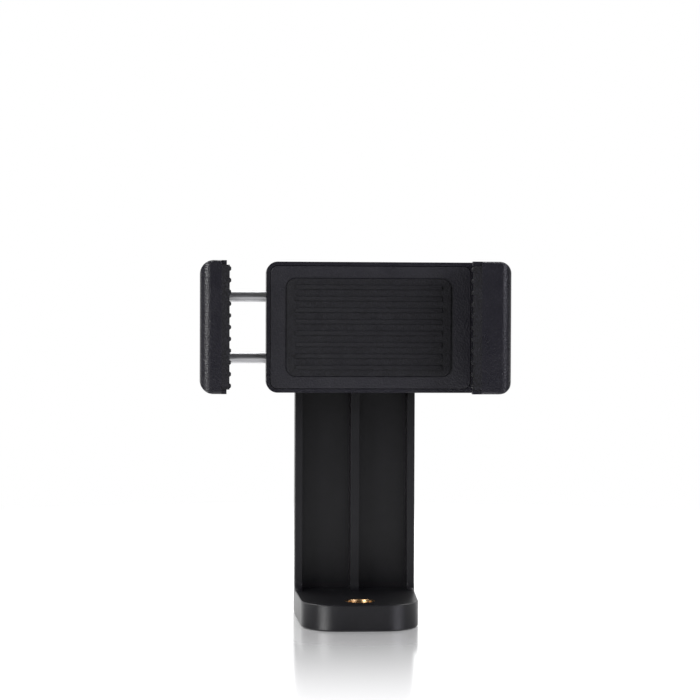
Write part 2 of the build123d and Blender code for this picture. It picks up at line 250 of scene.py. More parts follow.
class MountStage(bpy.types.PropertyGroup):
    """Camera, table and lamps."""

    camera_place: FloatVectorProperty(
        name="Camera place", description="Where the camera stands",
        subtype="TRANSLATION", unit="LENGTH", size=3, default=(-36.3 * MM, -499.4 * MM, 80.9 * MM))
    camera_turn: FloatProperty(
        name="Camera turn", description="How far the camera looks to the right of straight ahead",
        subtype="ANGLE", unit="ROTATION", default=math.radians(3.835))
    camera_drop: FloatProperty(
        name="Camera drop", description="How far the camera looks down",
        subtype="ANGLE", unit="ROTATION", default=math.radians(0.957))
    camera_roll: FloatProperty(
        name="Camera roll", description="How far the camera leans to its left",
        subtype="ANGLE", unit="ROTATION", default=math.radians(0.22))
    focal_length: FloatProperty(
        name="Focal length", description="Focal length in millimetres on a 36 mm sensor", default=98.5)
    table_size: FloatProperty(
        name="Table size", description="Side of the table top",
        subtype="DISTANCE", unit="LENGTH", default=6.0)
    table_blur: FloatProperty(
        name="Table blur", description="Roughness of the table's mirror image", default=0.13)
    table_lift: FloatProperty(
        name="Table lift", description="White added to the table for the camera", default=0.12)
    mirror_reach: FloatVectorProperty(
        name="Mirror reach", description="Distances between which the mirror image fades",
        subtype="XYZ_LENGTH", unit="LENGTH", size=2, default=(20.0 * MM, 185.0 * MM))
    mirror_share: FloatVectorProperty(
        name="Mirror share", description="Share of the mirror image near the mount and far from it",
        size=2, default=(0.77, 0.08))
    white_reach: FloatVectorProperty(
        name="White reach", description="Distances between which the table turns plain white",
        subtype="XYZ_LENGTH", unit="LENGTH", size=2, default=(0.14, 0.34))
    table_dusk: FloatVectorProperty(
        name="Table dusk", description="Places in y between which the table darkens in reflections",
        subtype="XYZ_LENGTH", unit="LENGTH", size=2, default=(-0.05, 0.25))
    mirror_facing: FloatVectorProperty(
        name="Mirror facing", size=2, default=(0.55, 0.80),
        description="Flatness of the look along the table between which the mirror image gets strong")
    steep_mirror: FloatProperty(
        name="Steep mirror", description="Share of the mirror image left from above", default=0.2)
    wall_edge: FloatVectorProperty(
        name="Wall edge", description="Directions, y plus the rise, between which the white wall ends",
        size=2, default=(0.80, 0.93))
    wall_rise: FloatProperty(
        name="Wall rise", description="How far the white wall bends over the mount", default=0.8)
    studio_dimness: FloatProperty(
        name="Studio dimness", description="Brightness of the room beside the wall in reflections",
        default=0.10)
    left_place: FloatVectorProperty(
        name="Left lamp's place", description="Where the large lamp on the left stands",
        subtype="TRANSLATION", unit="LENGTH", size=3, default=(-0.75, -0.66, 0.42))
    left_size: FloatVectorProperty(
        name="Left lamp's size", description="Width and height of the lamp on the left",
        subtype="XYZ_LENGTH", unit="LENGTH", size=2, default=(0.5, 0.7))
    left_power: FloatProperty(
        name="Left lamp", description="Power of the large lamp on the left in watts", default=11.2)
    right_place: FloatVectorProperty(
        name="Right lamp's place", description="Where the large lamp on the right stands",
        subtype="TRANSLATION", unit="LENGTH", size=3, default=(0.75, -0.60, 0.40))
    right_size: FloatVectorProperty(
        name="Right lamp's size", description="Width and height of the lamp on the right",
        subtype="XYZ_LENGTH", unit="LENGTH", size=2, default=(0.5, 0.6))
    right_power: FloatProperty(
        name="Right lamp", description="Power of the large lamp on the right in watts", default=4.8)
    right_tint: FloatVectorProperty(
        name="Right lamp's tint", description="Colour of the lamp on the right, cooler than white",
        subtype="COLOR", size=3, default=(0.90, 0.89, 1.0))
    top_place: FloatVectorProperty(
        name="Top lamp's place", description="Where the lamp overhead hangs",
        subtype="TRANSLATION", unit="LENGTH", size=3, default=(0.0, 0.42, 0.86))
    top_size: FloatVectorProperty(
        name="Top lamp's size", description="Width and depth of the lamp overhead",
        subtype="XYZ_LENGTH", unit="LENGTH", size=2, default=(1.5, 0.5))
    top_power: FloatProperty(
        name="Top lamp", description="Power of the lamp overhead in watts", default=11.0)


def deselect_all():
    """Leave edit mode and select nothing."""
    if bpy.context.object and bpy.context.object.mode != "OBJECT":
        bpy.ops.object.mode_set(mode="OBJECT")
    bpy.ops.object.select_all(action="DESELECT")


def make_active(piece):
    """Select one object alone."""
    deselect_all()
    piece.select_set(True)
    bpy.context.view_layer.objects.active = piece


def apply_place(piece):
    """Put the piece's place, turn and size into its mesh."""
    make_active(piece)
    bpy.ops.object.transform_apply(location=True, rotation=True, scale=True)


def apply_modifiers(piece):
    """Apply all modifiers of a piece in their order."""
    make_active(piece)
    for modifier in list(piece.modifiers):
        bpy.ops.object.modifier_apply(modifier=modifier.name)


def join(pieces, name):
    """Join objects into the first of them."""
    deselect_all()
    for piece in pieces:
        piece.select_set(True)
    bpy.context.view_layer.objects.active = pieces[0]
    bpy.ops.object.join()
    pieces[0].name = name
    return pieces[0]


def select_where(piece, kind, wanted):
    """Enter edit mode with the edges or the faces selected that a test picks."""
    make_active(piece)
    bpy.ops.object.mode_set(mode="EDIT")
    bpy.ops.mesh.select_mode(type=kind)
    bpy.ops.mesh.select_all(action="DESELECT")
    mesh = bmesh.from_edit_mesh(piece.data)
    for element in {"EDGE": mesh.edges, "FACE": mesh.faces}[kind]:
        element.select_set(wanted(element))
    bmesh.update_edit_mesh(piece.data)


def soften_edges(piece, width, segments=2, angle=SMOOTH):
    """Round the edges of a frame node without touching its mesh."""
    weld = piece.modifiers.new("weld", "WELD")
    weld.merge_threshold = FRAME_GAP
    flatten = piece.modifiers.new("flatten", "DECIMATE")
    flatten.decimate_type = "DISSOLVE"
    flatten.angle_limit = FLAT
    bevel = piece.modifiers.new("edges", "BEVEL")
    bevel.width = width
    bevel.segments = segments
    bevel.limit_method = "ANGLE"
    bevel.angle_limit = angle
    bevel.miter_outer = "MITER_ARC"
    bevel.use_clamp_overlap = True
    normals = piece.modifiers.new("normals", "WEIGHTED_NORMAL")
    normals.keep_sharp = False
    normals.weight = FACE_WEIGHT


def add_node(material, kind, **settings):
    """Add a shader node and set its properties."""
    node = material.node_tree.nodes.new(kind)
    for name, value in settings.items():
        setattr(node, name, value)
    return node


def connect(material, source, target):
    """Join an output socket to an input socket."""
    material.node_tree.links.new(source, target)


def new_material(name, colour, roughness, metallic=0.0, specular=0.5):
    """A material with its shader's plain values set."""
    material = bpy.data.materials.new(name)
    material.use_nodes = True
    shader = material.node_tree.nodes["Principled BSDF"]
    shader.inputs["Base Color"].default_value = (*colour, 1.0)
    shader.inputs["Roughness"].default_value = roughness
    shader.inputs["Metallic"].default_value = metallic
    shader.inputs["Specular IOR Level"].default_value = specular
    return material, shader


def object_space(material, scale=(1.0, 1.0, 1.0)):
    """Object coordinates. A small scale draws a pattern out along its axis."""
    place = add_node(material, "ShaderNodeTexCoord")
    mapping = add_node(material, "ShaderNodeMapping")
    mapping.inputs["Scale"].default_value = scale
    connect(material, place.outputs["Object"], mapping.inputs["Vector"])
    return mapping.outputs["Vector"]


def noise(material, space, feature, detail=3.0, roughness=0.55):
    """Noise whose blobs are about as large as the feature."""
    node = add_node(material, "ShaderNodeTexNoise")
    node.inputs["Scale"].default_value = 1.0 / feature
    node.inputs["Detail"].default_value = detail
    node.inputs["Roughness"].default_value = roughness
    connect(material, space, node.inputs["Vector"])
    return node.outputs["Fac"]


def cells(material, space, feature):
    """Distance to the nearest of many points, about one feature apart."""
    node = add_node(material, "ShaderNodeTexVoronoi")
    node.inputs["Scale"].default_value = 1.0 / feature
    connect(material, space, node.inputs["Vector"])
    return node.outputs["Distance"]


def remap(material, value, low, high, new_low, new_high):
    """Stretch a value from one range to another and hold it at the ends."""
    node = add_node(material, "ShaderNodeMapRange")
    node.inputs["From Min"].default_value = low
    node.inputs["From Max"].default_value = high
    node.inputs["To Min"].default_value = new_low
    node.inputs["To Max"].default_value = new_high
    connect(material, value, node.inputs["Value"])
    return node.outputs["Result"]


def compute(material, operation, first, second):
    """Sum or product of a value and another, or of a value and a fixed number."""
    node = add_node(material, "ShaderNodeMath", operation=operation)
    connect(material, first, node.inputs[0])
    if isinstance(second, float):
        node.inputs[1].default_value = second
    else:
        connect(material, second, node.inputs[1])
    return node.outputs["Value"]


def split_axes(material, vector):
    """The x, y and z sockets of a vector."""
    parts = add_node(material, "ShaderNodeSeparateXYZ")
    connect(material, vector, parts.inputs["Vector"])
    return parts.outputs


def settle_dust(material, shader, space, finish):
    """Pale specks in patches on faces that look up."""
    specks = remap(material, cells(material, space, finish.dust_spacing), *SPECK_EDGE, 1.0, 0.0)
    patch_noise = noise(material, space, finish.dust_patch, detail=1.0)
    patches = remap(material, patch_noise, *PATCH_EDGE, 0.0, 1.0)
    normal = add_node(material, "ShaderNodeNewGeometry").outputs["Normal"]
    upward = remap(material, split_axes(material, normal)["Z"], *UPWARD, 0.0, 1.0)
    share = compute(material, "MULTIPLY", compute(material, "MULTIPLY", specks, patches), upward)
    dusty = add_node(material, "ShaderNodeMix", data_type="RGBA")
    connect(material, shader.inputs["Base Color"].links[0].from_socket, dusty.inputs["A"])
    dusty.inputs["B"].default_value = (*finish.dust_grey, 1.0)
    connect(material, share, dusty.inputs["Factor"])
    connect(material, dusty.outputs["Result"], shader.inputs["Base Color"])


def vary_colour(material, shader, share, amount):
    """Let the base colour run between a darker and a lighter tone of itself."""
    base = shader.inputs["Base Color"].default_value
    ramp = add_node(material, "ShaderNodeMix", data_type="RGBA")
    ramp.inputs["A"].default_value = (*[channel * (1.0 - amount) for channel in base[:3]], 1.0)
    ramp.inputs["B"].default_value = (*[channel * (1.0 + amount) for channel in base[:3]], 1.0)
    connect(material, share, ramp.inputs["Factor"])
    connect(material, ramp.outputs["Result"], shader.inputs["Base Color"])


def vary_roughness(material, shader, share, amount):
    """Let the roughness run evenly about its own value."""
    middle = shader.inputs["Roughness"].default_value
    result = remap(material, share, *NOISE_SPAN, middle - amount, middle + amount)
    connect(material, result, shader.inputs["Roughness"])


def relief(material, shader, height, depth, before=None):
    """Bump of a given real depth, on top of an earlier bump."""
    bump = add_node(material, "ShaderNodeBump")
    bump.inputs["Strength"].default_value = 1.0
    bump.inputs["Distance"].default_value = depth
    connect(material, height, bump.inputs["Height"])
    if before is not None:
        connect(material, before.outputs["Normal"], bump.inputs["Normal"])
    connect(material, bump.outputs["Normal"], shader.inputs["Normal"])
    return bump


def glossy_plastic(name, finish):
    """Polished black plastic with faint handling haze, a slight ripple and a little dust."""
    material, shader = new_material(name, finish.bracket_black, roughness=0.34, specular=0.36)
    space = object_space(material)
    haze = noise(material, space, feature=9.0 * MM, detail=4.0)
    vary_roughness(material, shader, haze, amount=0.04)
    vary_colour(material, shader, noise(material, space, feature=5.0 * MM), amount=0.25)
    settle_dust(material, shader, space, finish)
    waves = noise(material, space, feature=2.6 * MM, detail=1.0)
    ripple = relief(material, shader, waves, depth=0.006 * MM)
    skin = noise(material, space, feature=0.12 * MM)
    relief(material, shader, skin, depth=0.0015 * MM, before=ripple)
    return material


def grained_plastic(name, colour, grain, roughness, depth=0.06 * MM):
    """Black plastic out of a finely eroded mould, each grain a shallow pit."""
    material, shader = new_material(name, colour, roughness, specular=0.42)
    space = object_space(material)
    pits = cells(material, space, grain)
    speckle = noise(material, space, feature=grain * 1.7, detail=2.0)
    tone = compute(material, "ADD", remap(material, pits, *PIT_REACH, *PIT_TONE), speckle)
    vary_colour(material, shader, tone, amount=0.35)
    wear = noise(material, space, feature=7.0 * MM, detail=5.0)
    vary_roughness(material, shader, wear, amount=0.06)
    coarse = relief(material, shader, speckle, depth)
    relief(material, shader, pits, depth, before=coarse)
    return material


def speckled_rubber(name, colour, grain, roughness=0.6):
    """Soft black rubber with a coarse speckle and a dusty bloom."""
    material, shader = new_material(name, colour, roughness, specular=0.22)
    space = object_space(material)
    speckle = noise(material, space, grain, detail=3.0, roughness=0.7)
    vary_colour(material, shader, remap(material, speckle, *SPECKLE_SPAN, 0.0, 1.0), amount=0.8)
    vary_roughness(material, shader, noise(material, space, feature=3.0 * MM), amount=0.1)
    shader.inputs["Sheen Weight"].default_value = 0.02
    shader.inputs["Sheen Roughness"].default_value = 0.4
    coarse = relief(material, shader, speckle, depth=0.20 * MM)
    skin = noise(material, space, feature=0.1 * MM)
    relief(material, shader, skin, depth=0.012 * MM, before=coarse)
    return material


def turned_metal(name, colour, roughness, line, scale, tarnish=0.12):
    """Metal with a little tarnish and fine tool lines along each axis whose scale is small."""
    material, shader = new_material(name, colour, roughness, metallic=1.0)
    lines = noise(material, object_space(material, scale), line, detail=2.0)
    stain = noise(material, object_space(material), feature=1.6 * MM, detail=5.0)
    vary_colour(material, shader, stain, amount=tarnish)
    vary_roughness(material, shader, lines, amount=0.07)
    relief(material, shader, lines, depth=0.004 * MM)
    return material


def put_on(node_name, material):
    """Give a frame node its material."""
    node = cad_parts[node_name]
    node.data.materials.clear()
    node.data.materials.append(material)
    return node


class MOUNT_OT_bracket(bpy.types.Operator):
    """Finish the glossy L-shaped bracket"""

    bl_idname = "mount.bracket"
    bl_label = "Bracket"

    def execute(self, context):
        finish, shape = context.scene.mount_finish, context.scene.mount_shape
        bracket = put_on("bracket", glossy_plastic("bracket_gloss", finish))
        soften_edges(bracket, shape.shell_edge)
        return {"FINISHED"}


class MOUNT_OT_shells(bpy.types.Operator):
    """Finish the housing with its fixed jaw, the front cover and the sliding jaw"""

    bl_idname = "mount.shells"
    bl_label = "Clamp shells"

    def execute(self, context):
        finish, shape = context.scene.mount_finish, context.scene.mount_shape
        black, grain = finish.shell_black, finish.grain_size
        finishes = {
            "clamp_housing": grained_plastic("housing_grain", black, grain, roughness=0.3),
            "front_cover": grained_plastic("cover_grain", black, grain * 1.2, roughness=0.46),
            "sliding_jaw": grained_plastic("sliding_jaw_grain", black, grain, roughness=0.32),
        }
        for name, material in finishes.items():
            soften_edges(put_on(name, material), shape.shell_edge)
        return {"FINISHED"}


class MOUNT_OT_pads(bpy.types.Operator):
    """Finish the ribbed rubber pads"""

    bl_idname = "mount.pads"
    bl_label = "Rubber pads"

    def execute(self, context):
        finish, shape = context.scene.mount_finish, context.scene.mount_shape
        black, grain = finish.rubber_black, finish.rubber_grain_size
        finishes = {
            "fixed_jaw_pad": speckled_rubber("fixed_pad_rubber", black, grain, roughness=0.62),
            "sliding_jaw_pad": speckled_rubber("sliding_pad_rubber", black, grain),
        }
        for name, material in finishes.items():
            pad = put_on(name, material)
            soften_edges(pad, shape.rubber_edge, segments=3, angle=math.radians(40.0))
        sheet = make_ribbed_sheet(*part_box("back_pad"), shape)
        sheet.data.materials.append(speckled_rubber("back_pad_rubber", black, grain * 0.8))
        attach(sheet, CLAMP)
        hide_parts("back_pad")
        return {"FINISHED"}


def cut_across(normal, place):
    """Cut the mesh in edit mode along a plane across x or z."""
    bpy.ops.mesh.select_all(action="SELECT")
    bpy.ops.mesh.bisect(plane_co=[component * place for component in normal], plane_no=normal)


def push_along_y(depth):
    """Extrude what is selected in edit mode along y."""
    bpy.ops.mesh.extrude_region_move(TRANSFORM_OT_translate={"value": (0.0, depth, 0.0)})


def make_ribbed_sheet(low, high, shape):
    """Rubber sheet with round corners that faces the user, its ribs raised and rounded."""
    middle = (low + high) / 2.0
    sheet = make_sheet_face(middle, low, high, shape)
    ribs = sheet_ribs(middle.z, high.z - low.z, shape)
    left, right = low.x + shape.sheet_corner, high.x - shape.sheet_corner
    for bottom, top in ribs:
        cut_across((0.0, 0.0, 1.0), bottom)
        cut_across((0.0, 0.0, 1.0), top)
    cut_across((1.0, 0.0, 0.0), left)
    cut_across((1.0, 0.0, 0.0), right)

    def lies_on_a_rib(face):
        centre = face.calc_center_median()
        return left < centre.x < right and any(bottom < centre.z < top for bottom, top in ribs)

    select_where(sheet, "FACE", lies_on_a_rib)
    push_along_y(-shape.sheet_rib_height)
    select_where(sheet, "EDGE", lambda edge: edge.is_boundary)
    push_along_y(high.y - low.y - shape.sheet_rib_height)
    bpy.ops.mesh.edge_face_add()
    clean_normals(sheet)
    select_where(sheet, "EDGE", lambda edge: edge.is_manifold and edge.calc_face_angle() > SHARP)
    bpy.ops.mesh.bevel(offset=shape.rubber_edge, segments=3, affect="EDGES")
    bpy.ops.object.mode_set(mode="OBJECT")
    bpy.ops.object.shade_smooth_by_angle(angle=SMOOTH)
    return sheet


def make_sheet_face(middle, low, high, shape):
    """Flat face of the sheet between its ribs, with round corners, left in edit mode."""
    deselect_all()
    bpy.ops.mesh.primitive_plane_add(
        size=1.0, rotation=(math.radians(90.0), 0.0, 0.0),
        location=(middle.x, low.y + shape.sheet_rib_height, middle.z))
    sheet = bpy.context.object
    sheet.name = "back_pad_ribbed"
    sheet.scale = (high.x - low.x, high.z - low.z, 1.0)
    apply_place(sheet)
    bpy.ops.object.mode_set(mode="EDIT")
    bpy.ops.mesh.select_mode(type="VERT")
    bpy.ops.mesh.select_all(action="SELECT")
    bpy.ops.mesh.bevel(offset=shape.sheet_corner, segments=CORNER_STEPS, affect="VERTICES")
    return sheet


def sheet_ribs(middle, height, shape):
    """Bottom and top of each rib of the back pad."""
    count = int((height - shape.sheet_rib_width - 2.0 * shape.sheet_margin) // shape.rib_pitch) + 1
    ribs = []
    for index in range(count):
        centre = middle + (index - (count - 1) / 2.0) * shape.rib_pitch
        ribs.append((centre - shape.sheet_rib_width / 2.0, centre + shape.sheet_rib_width / 2.0))
    return ribs


class MOUNT_OT_knob(bpy.types.Operator):
    """Finish the clamping knob with its nut and the two washers on the pivot bolt"""

    bl_idname = "mount.knob"
    bl_label = "Knob and washers"

    def execute(self, context):
        finish, shape = context.scene.mount_finish, context.scene.mount_shape
        knob = grained_plastic(
            "knob_grain", finish.knob_black, finish.grain_size * 1.3, roughness=0.44, depth=0.02 * MM)
        soften_edges(put_on("knob", knob), shape.shell_edge * 1.5, segments=3)
        nut = turned_metal(
            "knob_nut_brass", finish.brass, roughness=0.3, line=0.3 * MM, scale=(0.02, 1.0, 0.02))
        soften_edges(put_on("knob_nut", nut), shape.metal_edge)
        friction = grained_plastic(
            "friction_washer_nylon", finish.washer_grey, grain=0.15 * MM, roughness=0.5, depth=0.006 * MM)
        soften_edges(put_on("friction_washer", friction), shape.metal_edge)
        slip = turned_metal(
            "knob_washer_zinc", finish.rod_steel, roughness=0.33, line=0.2 * MM,
            scale=(1.0, 0.1, 1.0))
        soften_edges(put_on("knob_washer", slip), shape.metal_edge)
        return {"FINISHED"}


class MOUNT_OT_rods(bpy.types.Operator):
    """Finish the guide rods, their washers and clips, and the pivot bolt"""

    bl_idname = "mount.rods"
    bl_label = "Rods and bolt"

    def execute(self, context):
        finish, shape = context.scene.mount_finish, context.scene.mount_shape
        for side in ("upper", "lower"):
            rod = turned_metal(
                f"rod_{side}_satin", finish.rod_steel, roughness=0.38, line=0.18 * MM,
                scale=(0.01, 1.0, 1.0), tarnish=0.05)
            soften_edges(put_on(f"guide_rod_{side}", rod), shape.metal_edge * 2.0)
            ring = turned_metal(
                f"rod_washer_{side}_zinc", finish.rod_steel, roughness=0.34, line=0.2 * MM,
                scale=(1.0, 0.1, 0.1))
            soften_edges(put_on(f"rod_washer_{side}", ring), shape.metal_edge)
            clip = turned_metal(
                f"rod_clip_{side}_steel", finish.dark_steel, roughness=0.32, line=0.2 * MM,
                scale=(1.0, 0.2, 0.2))
            soften_edges(put_on(f"rod_clip_{side}", clip), shape.metal_edge)
        bolt = turned_metal(
            "pivot_bolt_zinc", finish.rod_steel, roughness=0.3, line=0.25 * MM, scale=(1.0, 0.1, 1.0))
        soften_edges(put_on("pivot_bolt", bolt), shape.metal_edge * 2.0)
        return {"FINISHED"}


def coil_path(length, radius, wire, turns):
    """Points of a spring along x: open turns between one closed turn at each end."""
    points = []
    # The two closed turns and the wire's own thickness take three wires of the length
    open_pitch = (length - 3.0 * wire) / turns
    for index in range((turns + 2) * COIL_STEPS + 1):
        turn = index / COIL_STEPS
        closed = min(turn, 1.0) + max(turn - turns - 1.0, 0.0)
        x = wire * closed + open_pitch * (turn - closed)
        angle = 2.0 * math.pi * turn
        points.append((x + wire / 2.0, radius * math.cos(angle), radius * math.sin(angle)))
    return points


def make_spring(node_name, material, shape):
    """A spring of round wire with closed ends in the place of its frame node."""
    low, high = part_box(node_name)
    wire = shape.spring_wire
    radius = (high.y - low.y - wire) / 2.0
    curve = bpy.data.curves.new(f"{node_name}_coil", "CURVE")
    curve.dimensions = "3D"
    curve.bevel_depth = wire / 2.0
    curve.bevel_resolution = 3
    curve.use_fill_caps = True
    spline = curve.splines.new("POLY")
    points = coil_path(high.x - low.x, radius, wire, shape.spring_turns)
    spline.points.add(len(points) - 1)
    for point, place in zip(spline.points, points):
        point.co = (*place, 1.0)
    spring = bpy.data.objects.new(f"{node_name}_coil", curve)
    spring.location = (low.x, (low.y + high.y) / 2.0, (low.z + high.z) / 2.0)
    bpy.context.scene.collection.objects.link(spring)
    make_active(spring)
    bpy.ops.object.convert(target="MESH")
    spring = bpy.context.object
    apply_place(spring)
    bpy.ops.object.shade_smooth()
    spring.data.materials.clear()
    spring.data.materials.append(material)
    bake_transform(spring)
    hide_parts(node_name)


class MOUNT_OT_springs(bpy.types.Operator):
    """Coil the two springs, which stretch between the housing and the rods' washers"""

    bl_idname = "mount.springs"
    bl_label = "Springs"

    def execute(self, context):
        finish, shape = context.scene.mount_finish, context.scene.mount_shape
        for name in ("spring_upper", "spring_lower"):
            steel = turned_metal(
                f"{name}_steel", finish.dark_steel, roughness=0.28, line=0.3 * MM,
                scale=(0.2, 1.0, 1.0))
            make_spring(name, steel, shape)
        return {"FINISHED"}


def clean_normals(piece):
    """Merge doubled points and turn every face outwards."""
    make_active(piece)
    bpy.ops.object.mode_set(mode="EDIT")
    bpy.ops.mesh.select_all(action="SELECT")
    bpy.ops.mesh.remove_doubles(threshold=MERGE_GAP)
    bpy.ops.mesh.normals_make_consistent(inside=False)
    bpy.ops.object.mode_set(mode="OBJECT")


def make_tube(low, height, outer, bore):
    """Closed tube along z that stands on a height."""
    deselect_all()
    bpy.ops.mesh.primitive_cylinder_add(
        vertices=TUBE_STEPS, radius=outer, depth=height, end_fill_type="NOTHING",
        location=(0.0, 0.0, low + height / 2.0))
    tube = bpy.context.object
    apply_place(tube)
    wall = tube.modifiers.new("wall", "SOLIDIFY")
    wall.thickness = outer - bore
    wall.offset = -1.0
    apply_modifiers(tube)
    clean_normals(tube)
    return tube


def make_ridge(bore, pitch, depth, place):
    """Pointed profile of the thread at a height, its tip towards the middle of the bore."""
    deselect_all()
    bpy.ops.mesh.primitive_circle_add(vertices=3, radius=1.0, location=(0.0, 0.0, 0.0))
    ridge = bpy.context.object
    ridge.rotation_euler = (math.radians(90.0), math.radians(-90.0), 0.0)
    apply_place(ridge)
    foot = max(vertex.co.x for vertex in ridge.data.vertices)
    tip = min(vertex.co.x for vertex in ridge.data.vertices)
    tall = max(vertex.co.z for vertex in ridge.data.vertices) * 2.0
    ridge.scale = (depth / (foot - tip), 1.0, RIDGE_SHARE * pitch / tall)
    apply_place(ridge)
    foot = max(vertex.co.x for vertex in ridge.data.vertices)
    ridge.location = (bore + RIDGE_ROOT - foot, 0.0, place)
    apply_place(ridge)
    return ridge


def make_thread(low, turns, shape):
    """Inside thread: a pointed ridge that winds up the bore."""
    pitch = shape.thread_pitch
    thread = make_ridge(shape.thread_radius, pitch, shape.thread_depth, low + pitch / 2.0)
    wind = thread.modifiers.new("wind", "SCREW")
    wind.axis = "Z"
    wind.angle = 2.0 * math.pi
    wind.screw_offset = pitch
    wind.iterations = turns
    wind.steps = wind.render_steps = THREAD_STEPS
    apply_modifiers(thread)
    select_where(thread, "EDGE", lambda edge: edge.is_boundary)
    bpy.ops.mesh.edge_face_add()
    clean_normals(thread)
    return thread


class MOUNT_OT_insert(bpy.types.Operator):
    """Turn the brass insert with its tripod thread"""

    bl_idname = "mount.insert"
    bl_label = "Tripod insert"

    def execute(self, context):
        finish, shape = context.scene.mount_finish, context.scene.mount_shape
        low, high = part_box("tripod_insert")
        height, outer = high.z - low.z, high.x
        bush = make_tube(low.z, height, outer, shape.thread_radius)
        between = (outer + shape.thread_radius) / 2.0
        select_where(bush, "EDGE", lambda edge: edge.calc_face_angle() > SHARP
                     and edge.verts[0].co.xy.length < between)
        bpy.ops.mesh.bevel(offset=shape.insert_bevel, segments=3, affect="EDGES")
        turns = int(height / shape.thread_pitch) - 1
        start = low.z + (height - (turns + 1) * shape.thread_pitch) / 2.0
        insert = join([bush, make_thread(start, turns, shape)], "insert_threaded")
        bpy.ops.object.shade_smooth_by_angle(angle=SMOOTH)
        brass = turned_metal(
            "insert_brass", finish.brass, roughness=0.27, line=0.2 * MM, scale=(0.1, 0.1, 1.0))
        insert.data.materials.append(brass)
        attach(insert, BRACKET)
        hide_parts("tripod_insert")
        return {"FINISHED"}


def make_cylinder_along_y(radius, front, back, steps):
    """Cylinder along y at x = 0, z = 0."""
    deselect_all()
    bpy.ops.mesh.primitive_cylinder_add(
        vertices=steps, radius=radius, depth=back - front, location=(0.0, (front + back) / 2.0, 0.0),
        rotation=(math.radians(90.0), 0.0, 0.0))
    piece = bpy.context.object
    apply_place(piece)
    return piece


def make_cross(front, back, shape):
    """Two crossed bars that cut a screw's recess."""
    bars = []
    width, reach = shape.recess_width, shape.recess_reach
    for size_x, size_z in ((reach, width), (width, reach)):
        deselect_all()
        bpy.ops.mesh.primitive_cube_add(size=1.0, location=(0.0, (front + back) / 2.0, 0.0))
        bar = bpy.context.object
        bar.scale = (size_x, back - front, size_z)
        apply_place(bar)
        bars.append(bar)
    return bars


def cut_away(piece, cutter):
    """Cut one closed mesh out of another and remove the cutter."""
    cut = piece.modifiers.new("cut", "BOOLEAN")
    cut.operation = "DIFFERENCE"
    cut.solver = "EXACT"
    cut.object = cutter
    apply_modifiers(piece)
    bpy.data.objects.remove(cutter)


def make_screw(tip, top, shape):
    """Pan-head screw along y with a cross recess, its axis at x = 0, z = 0."""
    head_front = top - shape.screw_head
    head = make_cylinder_along_y(shape.screw_head_radius, head_front, top, HEAD_STEPS)
    select_where(head, "EDGE", lambda edge: edge.calc_face_angle() > SHARP
                 and all(vertex.co.y > top - MERGE_GAP for vertex in edge.verts))
    bpy.ops.mesh.bevel(offset=shape.screw_round, segments=5, affect="EDGES")
    bpy.ops.object.mode_set(mode="OBJECT")
    for bar in make_cross(top - shape.recess_depth, top + shape.recess_depth, shape):
        cut_away(head, bar)
    shank = make_cylinder_along_y(shape.screw_shank, tip, head_front + SHANK_ROOT, SHANK_STEPS)
    screw = join([head, shank], "cover_screw")
    bpy.ops.object.shade_smooth_by_angle(angle=SMOOTH)
    return screw


class MOUNT_OT_screws(bpy.types.Operator):
    """Make the four cover screws with their cross recesses"""

    bl_idname = "mount.screws"
    bl_label = "Cover screws"

    def execute(self, context):
        finish, shape = context.scene.mount_finish, context.scene.mount_shape
        low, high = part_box("cover_screws")
        radius = shape.screw_head_radius
        first = make_screw(low.y, high.y, shape)
        places = [(x, z) for x in (low.x + radius, high.x - radius)
                  for z in (low.z + radius, high.z - radius)]
        for index, (x, z) in enumerate(places):
            screw = first.copy()
            screw.data = first.data.copy()
            screw.name = f"cover_screw_{index + 1}"
            context.scene.collection.objects.link(screw)
            turn = math.radians(FIRST_SCREW_TURN + NEXT_SCREW_TURN * index)
            screw.rotation_euler = (0.0, turn, 0.0)
            screw.location = (x, 0.0, z)
            apply_place(screw)
            zinc = turned_metal(
                f"{screw.name}_zinc", finish.dark_steel, roughness=0.34, line=0.25 * MM,
                scale=(1.0, 0.2, 1.0))
            screw.data.materials.append(zinc)
            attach(screw, CLAMP)
            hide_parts("cover_screws")
        bpy.data.objects.remove(first)
        return {"FINISHED"}


class MOUNT_OT_stage(bpy.types.Operator):
    """Set the table, the white room, the lamps and the camera"""

    bl_idname = "mount.stage"
    bl_label = "Stage"

    def execute(self, context):
        stage = context.scene.mount_stage
        make_table(stage)
        make_room(stage)
        make_lamp("left_lamp", stage.left_place, stage.left_size, stage.left_power)
        make_lamp("right_lamp", stage.right_place, stage.right_size, stage.right_power,
                  stage.right_tint)
        make_lamp("top_lamp", stage.top_place, stage.top_size, stage.top_power)
        make_camera(stage)
        context.scene.view_settings.view_transform = "Standard"
        return {"FINISHED"}


def make_table(stage):
    """Table top that is glossy white near the mount and plain white further out."""
    deselect_all()
    bpy.ops.mesh.primitive_plane_add(size=stage.table_size, location=(0.0, 0.0, -TABLE_GAP))
    table = bpy.context.object
    table.name = "table_top"
    apply_place(table)
    material = bpy.data.materials.new("table_white")
    material.use_nodes = True
    material.node_tree.nodes.clear()
    place = add_node(material, "ShaderNodeTexCoord").outputs["Object"]
    reach = add_node(material, "ShaderNodeVectorMath", operation="LENGTH")
    connect(material, place, reach.inputs[0])
    distance = reach.outputs["Value"]
    near, far = glossy_white(material, distance, stage), plain_white(material, place, stage)
    share = remap(material, distance, *stage.white_reach, 0.0, 1.0)
    surface = blend_shaders(material, share, near, far)
    output = add_node(material, "ShaderNodeOutputMaterial")
    connect(material, surface.outputs[0], output.inputs["Surface"])
    table.data.materials.append(material)


